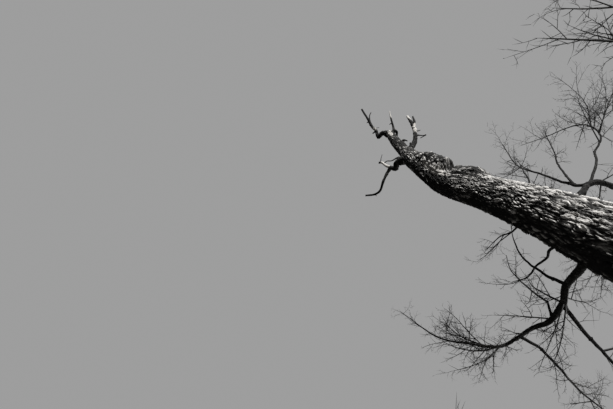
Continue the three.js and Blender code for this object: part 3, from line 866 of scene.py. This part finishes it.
class Finish:
    """A material whose nodes are made by writing sums."""

    def __init__(self, name, roughness, tone=0.5):
        self.material = bpy.data.materials.new(name)
        self.material.use_nodes = True
        self.tree = self.material.node_tree
        self.shader = self.tree.nodes["Principled BSDF"]
        values = {"Roughness": roughness, "Specular IOR Level": SHEEN, "Base Color": grey(tone)}
        for socket, value in values.items():
            self.shader.inputs[socket].default_value = value

    def node(self, kind, settings=None, sockets=None, out=0):
        """Any node: its type, its settings, and the values or wires of its sockets."""
        made = self.tree.nodes.new(kind)
        for setting, value in (settings or {}).items():
            if setting == "stops":
                while len(made.color_ramp.elements) < len(value):
                    made.color_ramp.elements.new(1.0)
                for stop, (place, tone) in zip(made.color_ramp.elements, value):
                    stop.position, stop.color = place, (tone, tone, tone, 1)
            else:
                setattr(made, setting, value)
        for socket, value in (sockets or {}).items():
            if isinstance(value, Wire):
                self.tree.links.new(value.socket, made.inputs[socket])
            else:
                made.inputs[socket].default_value = value
        return Wire(self, made.outputs[out])

    def mark(self, name):
        return self.node("ShaderNodeAttribute", {"attribute_name": name}, out="Fac")

    def grain(self, place, scale, detail=4, roughness=0.6):
        values = {"Vector": place, "Scale": scale, "Detail": detail, "Roughness": roughness}
        return self.node("ShaderNodeTexNoise", None, values)

    def stretched(self, place, share):
        """The place with its height counted for less, so that a pattern is drawn out upwards."""
        return self.node("ShaderNodeVectorMath", {"operation": "MULTIPLY"}, {0: place, 1: (1, 1, share)})

    def ramp(self, value, *stops):
        return self.node("ShaderNodeValToRGB", {"stops": stops}, {0: value})

    def mix(self, share, first, second):
        """Between two colours."""
        return self.node("ShaderNodeMix", {"data_type": "RGBA"}, {0: share, 6: first, 7: second}, out=2)

    def feed(self, socket, wire):
        self.tree.links.new(wire.socket, self.shader.inputs[socket])

    def bump(self, height, distance, strength):
        values = {"Height": height, "Distance": distance, "Strength": strength}
        self.feed("Normal", self.node("ShaderNodeBump", None, values))


def grey(tone, warmth=0.03):
    """A grey with a slight warmth, from its tone."""
    return (tone * (1 + warmth), tone, tone * (1 - 1.6 * warmth), 1)


def bark_finish(name, furrow_tone, plate_tone, crest_tone, wood_tone):
    """Bark that is dark in its furrows, partly its own tone and partly painted shade there, and pale on its
    crests, and bare grey wood where it is lost.
    """
    finish = Finish(name, 0.9)
    rise, plate, bare = finish.mark("rise"), finish.mark("plate"), finish.mark("bare")
    place = finish.node("ShaderNodeTexCoord", out="Object")
    patches = finish.grain(place, 3.5, 5)
    fine = finish.grain(finish.stretched(place, 0.3), 75, 6, 0.75)
    level = LIGHTNESS["rise"] * rise + LIGHTNESS["patches"] * patches + LIGHTNESS["plate"] * plate
    level = level + LIGHTNESS["fine"] * fine - LIGHTNESS["less"]
    middling = finish.mix(finish.ramp(level, *PLATES_SHOW), grey(furrow_tone), grey(plate_tone))
    bark = finish.mix(finish.ramp(level, *CRESTS_SHOW), middling, grey(crest_tone))
    grain = finish.ramp(finish.grain(finish.stretched(place, 0.07), 90, 3), *STREAKS_SHOW)
    streaks = finish.mix(grain, grey(wood_tone * 0.3, 0.04), grey(wood_tone, 0.04))
    finish.feed("Base Color", finish.mix(bare, bark, streaks))
    finish.feed("Roughness", 0.97 - 0.2 * bare - 0.1 * rise)
    finish.bump(fine + 0.4 * finish.grain(place, 160, 3), 0.012, 0.8)
    return finish.material


# Trunk

def bark_of(around, up, columns, layer, scales):
    """Bark on a map of plates: how high it stands, from 0 in a furrow to about 1, and its shade."""
    sway = ripples(around, up, columns, layer + 10, BARK_SWAY)
    drift = ripples(around, up, columns, layer + 12, BARK_DRIFT)
    around, up = around + sway, up + drift
    crest, rise, shade = 1, 0, 0
    for number, (finer, taller, edge, wall, step, lean) in enumerate(scales):
        away, tilt, own = plates(finer * around, taller * up, finer * columns, layer + 3 * number)
        crest = crest * fade(0.02, edge, away)
        rise = rise + crest * (wall + step * (own - 0.5) + lean * tilt)
        shade = shade + BARK_SHADES[number] * own
    return rise + ripples(around, up, columns, layer + 13, BARK_GRAIN), shade


def trunk_bark(height, angle):
    """The trunk's bark, in zones that pass into one another."""
    rise, shade = 0 * height, 0 * height
    for number, (start, end, columns) in enumerate(BARK_ZONES):
        share = hill(start, start + ZONE_BLEND, end, end + ZONE_BLEND, height)
        rows = share.max(1) > 0
        around, up = angle[rows] / 360 * columns, height[rows] / PLATE_LENGTH
        here, own = bark_of(around, up, columns, 20 * number, BARK_SCALES)
        rise[rows] += share[rows] * here
        shade[rows] += share[rows] * own
    return rise, shade


def scars_at(height, angle):
    """How far the scars make the trunk stand out, and how far they push its bark aside."""
    stand, push = 0 * height, 0 * height
    ragged = ripples(angle, height, 360, 75, SCAR_EDGE)
    for middle, heading, wide, tall in SCARS:
        half_turn = np.degrees(wide / trunk_at(middle)[2])
        away = away_from(height, angle, middle, heading, tall, half_turn) + ragged
        stand += SCAR["lip"] * np.exp(-((away - 1) / SCAR["lip_width"]) ** 2)
        stand -= SCAR["depth"] * (1 - fade(*SCAR["hollow"], away))
        push -= SCAR["push"] * turn_from(angle, heading) * np.exp(-(away / SCAR["reach"]) ** 2)
    return stand, push


def near_break(height):
    return fade(TRUNK_TOP - BREAK["reach"], TRUNK_TOP, height)


def bare_at(height, angle):
    """Where the trunk is bare wood, from 0 to 1, and how far it stands out there."""
    ragged = ripples(angle, height, 360, 70, BARE_EDGE)
    bare = fade(0.55, 0.95, near_break(height) + ragged)
    stand = 0 * height
    for middle, heading, tall, wide, out in BARE_PATCHES:
        away = away_from(height, angle, middle, heading, tall, wide)
        bare = np.maximum(bare, 1 - fade(0.85, 0.95, away + ragged))
        stand += out * (1 - fade(0.5, 1.3, away))
    return bare, stand


def break_edge(angle):
    """How far the broken tip stands above the trunk's top, at each angle."""
    turn = np.radians(angle)
    jag = sum(strength * np.sin(count * turn + shift) for strength, count, shift in BREAK["waves"])
    splinters = ripples(angle, 0 * angle, 360, 40, SPLINTERS)
    drop, heading, half_width = BREAK["open"]
    return jag + splinters - BREAK["lower"] - drop * lobe(angle, heading, half_width)


def trunk_surface(heights):
    """The trunk's points, ring by ring, and the marks for its finish."""
    height, angle = np.meshgrid(heights, TRUNK_ANGLES, indexing="ij")
    stand, push = scars_at(height, angle)
    rise, shade = trunk_bark(height, angle + push)
    for low, high, darker in DARKER:
        shade = shade - darker * fade(low, high, height)
    # Painted shade: patches darkened on the side away from the key light, and one on the side it falls on
    # full
    for *patch, darker in PAINTED_SHADE:
        shade = shade - darker * (1 - fade(0.7, 1.1, away_from(height, angle, *patch)))
    depth = FURROW_DEPTH["least"] + FURROW_DEPTH["share"] * trunk_at(height)[2]
    relief = depth * (rise - BARK_LEVEL)
    spots = trunk_spots(height, angle)

    burr = sum(swelling_at(height, angle, swelling) for swelling in SWELLINGS)
    swollen = burr > 0
    grip = np.clip(LUMP["grip"] * burr[swollen], 0, 1)
    lump = sum(share * lumps(spots[swollen], size, 50 + 10 * number)
               for number, (size, share) in enumerate(LUMPS))
    relief[swollen] += grip * (LUMP["rise"] * (lump - LUMP["level"]) - (1 - LUMP["bark"]) * relief[swollen])
    # Painted shade in the lumps' creases: the rise mark falls between lumps and climbs on their tops
    rise[swollen] += grip * (lump - 0.5 - 0.2 * rise[swollen])
    shade[swollen] -= LUMP["shade"] * grip

    bare, patch_stand = bare_at(height, angle)
    fibres = ripples(angle, height, 360, 72, FIBRES)
    relief += bare * (WOOD_LEVEL * depth + fibres - relief) + patch_stand
    points = spots + outward(height, angle) * (relief + stand)[..., None]
    points[..., 2] += near_break(height) * break_edge(angle)
    # The scars' hollows lower the rise mark, so they are painted darker as shade in them
    marks = {"rise": rise + np.minimum(stand, 0) / SCAR["depth"], "plate": shade, "bare": bare}
    return points, marks


def broken_tip(points, marks):
    """Rings that go in and down from the trunk's top edge, as the hollow of the break."""
    edge = points[-1]
    middle = edge.mean(0)
    for share, drop in BREAK["rings"]:
        rough = ripples(TRUNK_ANGLES, drop + 0 * TRUNK_ANGLES, 360, 80, HOLLOW_EDGE)
        ring = middle + (edge - middle) * share
        ring[:, 2] = edge[:, 2] * share + middle[2] * (1 - share) - drop * (0.85 + rough)
        points = np.concatenate([points, ring[None]])
        marks = {mark: np.concatenate([values, values[-1:]]) for mark, values in marks.items()}
        marks["bare"][-1] = 1
    return points, marks


def build_trunk():
    """The trunk in pieces one above the other, closed at the ground and in the break."""
    cuts = [0, *TRUNK_CUTS, TRUNK_TOP]
    for name, low, high in zip(TRUNK_PIECES, cuts, cuts[1:]):
        points, marks = trunk_surface(ring_heights(low, high))
        if high == TRUNK_TOP:
            points, marks = broken_tip(points, marks)
        quads, spots = ring_faces(len(points), TRUNK_COLUMNS)
        faces, maps, flat = [quads], [spots], points.reshape(-1, 3)
        at_foot = low == 0
        if at_foot or high == TRUNK_TOP:
            ring, side = (0, 0) if at_foot else (len(points) - 1, 1)
            faces.append(end_faces(TRUNK_COLUMNS, ring * TRUNK_COLUMNS, len(flat), at_foot))
            maps.append(end_map(TRUNK_COLUMNS, (0, side), (1, side)))
            flat = np.concatenate([flat, points[ring].mean(0)[None]])
            marks = {mark: np.append(values, 0) for mark, values in marks.items()}
        piece = make_piece(name, flat, faces, [TRUNK_BARK], maps, marks)
        place_piece(piece, ["trunk"])


# Limbs

def limb_tube(path, look, layer, bare_stretches):
    """One limb's points, ring by ring, with its collar, bark, knots and sway, and its finish's marks."""
    length, start = path.length(), path.radii[0]
    shares = np.linspace(0, 1, max(int(length / look["step"]), 6))
    walked = shares * length
    plain = path.radius(shares)
    collar = 1 + COLLAR["rise"] * np.exp(-np.maximum(walked - path.sunk, 0) / (COLLAR["length"] * start))
    share, side = np.meshgrid(shares, np.arange(look["columns"]) / look["columns"], indexing="ij")
    plate_length = 2 * math.pi * plain.mean() / LIMB_PLATES * LIMB_PLATE_STRETCH
    rise, shade = bark_of(side * LIMB_PLATES, share * length / plate_length, LIMB_PLATES, layer,
                          BARK_SCALES[1:])
    radius = (plain * collar)[:, None] * (1 + ripples(side, share * length / start, 1, layer + 15, UNEVEN))
    depth = radius * look["furrows"] * np.clip(radius / FULL_BARK["radius"], FULL_BARK["least"], 1)
    dice = Dice(layer)
    for _ in range(int(length / KNOT["spacing"])):
        at, turn, size = dice.roll(*KNOT["places"]), dice.roll(0, 360), dice.roll(*KNOT["size"])
        away = (share - at) * length / (KNOT["length"] * path.radius(at))
        radius = radius * (1 + size * np.exp(-away ** 2) * lobe(side * 360, turn, KNOT["half_width"]))
    reach = SWAY["rise"] * plain * hill(0, SWAY["ends"], 1 - SWAY["ends"], 1, shares)
    sway = [reach * ripple(walked / (SWAY["length"] * start), 0 * walked, 999, layer + 16 + way)
            for way in range(2)]
    bare, blur = 0 * share, STRETCH_BLUR
    ragged = share + ripples(side, share, 1, layer + 18, STRETCH_EDGE)
    for low, high in bare_stretches:
        bare = np.maximum(bare, hill(low - blur, low + blur, high - blur, high + blur, ragged))
    relief = depth * (rise - BARK_LEVEL) * (1 - 0.8 * bare)
    tube = tube_points(path.at(shares)[None], (radius + relief)[None], sway)[0]
    ends = chance(np.arange(look["columns"]), np.full(look["columns"], layer), 19) - 0.3
    tube[-1] += path.along(1.0) * (path.radii[-1] * look["splinter"] * ends)[:, None]
    return tube, {"rise": np.clip(rise, 0, 1.2), "plate": shade, "bare": bare}


def build_limbs(name, limbs, look, layer, finish, nodes):
    """Limbs with bark, joined in one piece, each with a strip of the piece's map."""
    points, faces, maps, marks = [], [], [], {"rise": [], "plate": [], "bare": []}
    columns, first = look["columns"], 0
    for number, (limb, path) in enumerate(limbs.items()):
        tube, own = limb_tube(path, look, layer + 30 * number, BARE_STRETCHES.get(limb, []))
        tip = tube[-1].mean(0) + path.along(1.0) * path.radii[-1] * 0.3
        quads, spots = ring_faces(len(tube), columns)
        low, high = number / len(limbs), (number + 0.96) / len(limbs)
        last_ring, centre = first + (len(tube) - 1) * columns, first + len(tube) * columns
        faces += [quads + first, end_faces(columns, last_ring, centre, False)]
        maps += [np.stack([spots[..., 1], low + (high - low) * spots[..., 0]], -1),
                 end_map(columns, (1, low), (1, high))]
        points += [tube.reshape(-1, 3), tip[None]]
        for mark, values in own.items():
            marks[mark] += [values.ravel(), values[-1:, 0]]
        first = centre + 1
    marks = {mark: np.concatenate(values) for mark, values in marks.items()}
    piece = make_piece(name, np.concatenate(points), faces, [finish], maps, marks)
    place_piece(piece, nodes)


# Twig pieces

def twig_tubes(level, twigs):
    """Three-sided tubes for one lot of twigs, and their faces."""
    rings, sides = TWIG["rings"][level], 3
    bends = twigs.points.shape[1]
    shares = np.linspace(0, 1, rings)
    centres = curve_rows(bends, shares) @ twigs.points
    thick = straight_rows(bends, shares) @ twigs.radii[..., None]
    thick = np.maximum(thick * TWIG_THICKNESS, THINNEST_TWIG)
    thick[:, -1] = TWIG_POINT
    tubes = tube_points(centres, np.repeat(thick, sides, axis=2))
    quads, _ = ring_faces(rings, sides)
    return tubes.reshape(len(thick), -1, 3), quads


def build_twigs(lots, nodes):
    """Every twig, joined in pieces, with the bark's tones dealt out by spray."""
    batches, size = [[]], 0
    for level, twigs in lots:
        tubes, quads = twig_tubes(level, twigs)
        triangles = 2 * len(tubes) * len(quads)
        if size + triangles > PIECE_TRIANGLES:
            batches.append([])
            size = 0
        batches[-1].append((tubes, quads, twigs.sprays // np.uint64(64) % np.uint64(len(TWIG_BARK))))
        size += triangles
    for number, batch in enumerate(batches, 1):
        points, faces, tones, first = [], [], [], 0
        for tubes, quads, tone in batch:
            starts = first + np.arange(len(tubes)) * tubes.shape[1]
            faces.append((quads[None] + starts[:, None, None]).reshape(-1, 4))
            tones.append(np.repeat(tone, len(quads)))
            points.append(tubes.reshape(-1, 3))
            first += len(points[-1])
        piece = make_piece(f"twigs_{number}", np.concatenate(points), faces, TWIG_BARK,
                           finish_of=np.concatenate(tones))
        place_piece(piece, nodes)


# Camera, lights and floor

def set_camera():
    """The camera at the photograph's eye, turned so that upright lines meet where they do there."""
    def ray(pixel):
        x, y = pixel[0] - PHOTO_SIZE[0] / 2, PHOTO_SIZE[1] / 2 - pixel[1]
        return Vector((x, y, -FOCAL_PIXELS)).normalized()

    up = ray(ZENITH_PIXEL)
    beyond = ray(TRUNK_PIXEL)
    beyond = (beyond - beyond.dot(up) * up).normalized()
    turn = Matrix((beyond.cross(up), beyond, up))
    data = bpy.data.cameras.new("camera")
    data.lens = FOCAL_PIXELS * data.sensor_width / PHOTO_SIZE[0]
    data.clip_end = FARTHEST
    camera = add_object("camera", data)
    camera.matrix_world = Matrix.Translation(EYE) @ turn.to_4x4()
    bpy.context.scene.camera = camera


def set_light(name, heading, climb, strength, softness):
    """A broad, far light from a heading and a climb."""
    data = bpy.data.lights.new(name, "SUN")
    data.energy = strength
    data.angle = math.radians(softness)
    light = add_object(name, data)
    light.rotation_euler = Vector(direction(heading, climb)).to_track_quat("Z", "Y").to_euler()


def set_sky():
    """A plain grey sky as the camera sees it, that gives a dimmer light than it shows."""
    world = bpy.data.worlds.new("sky")
    world.use_nodes = True
    tree = world.node_tree
    seen = tree.nodes.new("ShaderNodeLightPath")
    tone = tree.nodes.new("ShaderNodeMapRange")
    tone.inputs["To Min"].default_value = SKY_LIGHT
    tone.inputs["To Max"].default_value = SKY_TONE
    tree.links.new(seen.outputs["Is Camera Ray"], tone.inputs["Value"])
    shown = tree.nodes["Background"].inputs
    shown["Color"].default_value = (1, 1, 1, 1)
    tree.links.new(tone.outputs["Result"], shown["Strength"])
    bpy.context.scene.world = world
    bpy.context.scene.view_settings.view_transform = "Standard"


def set_floor(corners=96):
    """A pale round floor."""
    angle = 2 * math.pi * np.arange(corners) / corners
    rim = FLOOR_RADIUS * np.stack([np.cos(angle), np.sin(angle), 0 * angle], 1)
    finish = Finish("pale floor", 0.9, FLOOR_TONE).material
    floor = make_piece("floor", rim, [np.arange(corners)[None]], [finish])


# Build

TRUNK_BARK, BOUGH_BARK, DEAD_BARK = (bark_finish(*tones) for tones in BARK_TONES)
TWIG_BARK = [Finish(f"twig bark {number}", 0.6, tone).material for number, tone in enumerate(TWIG_TONES, 1)]

set_camera()
for light in LIGHTS:
    set_light(*light)
set_sky()
set_floor()

LIMB_PATHS, GROWN_STEMS = grow_limbs()
STEMS = grow_stems(LIMB_PATHS, GROWN_STEMS)
MASSES = {name: path for name, _, path in STEMS}
SPUR_PATHS = {name: limb_of(LIMB_PATHS.get(parent), at, radius, runs)
              for name, parent, at, radius, runs in SPURS}
DEAD = {name: path for name, path in LIMB_PATHS.items() if name.startswith("dead")}
LIVING = {name: path for name, path in LIMB_PATHS.items() if name not in DEAD}
SPACE = Space(LIMB_PATHS.values(), MASSES.values())

build_trunk()
build_limbs("dead_arms", DEAD | SPUR_PATHS, DEAD_LOOK, 2000, DEAD_BARK, DEAD)
build_limbs("living_boughs", LIVING, BOUGH_LOOK, 4000, BOUGH_BARK, LIVING)
build_limbs("stems", MASSES, STEM_LOOK, 6000, BOUGH_BARK, MASSES)

LOTS = []
for own, (_, seed, path) in enumerate(STEMS):
    LOTS += grow_twigs(path, seed, SPACE, own)
for number, path in enumerate(LIVING.values()):
    LOTS += grow_twigs(path.beyond(SHOOT_START), SHOOT_SEED + number, SPACE)
build_twigs(LOTS, MASSES)

bpy.context.view_layer.update()
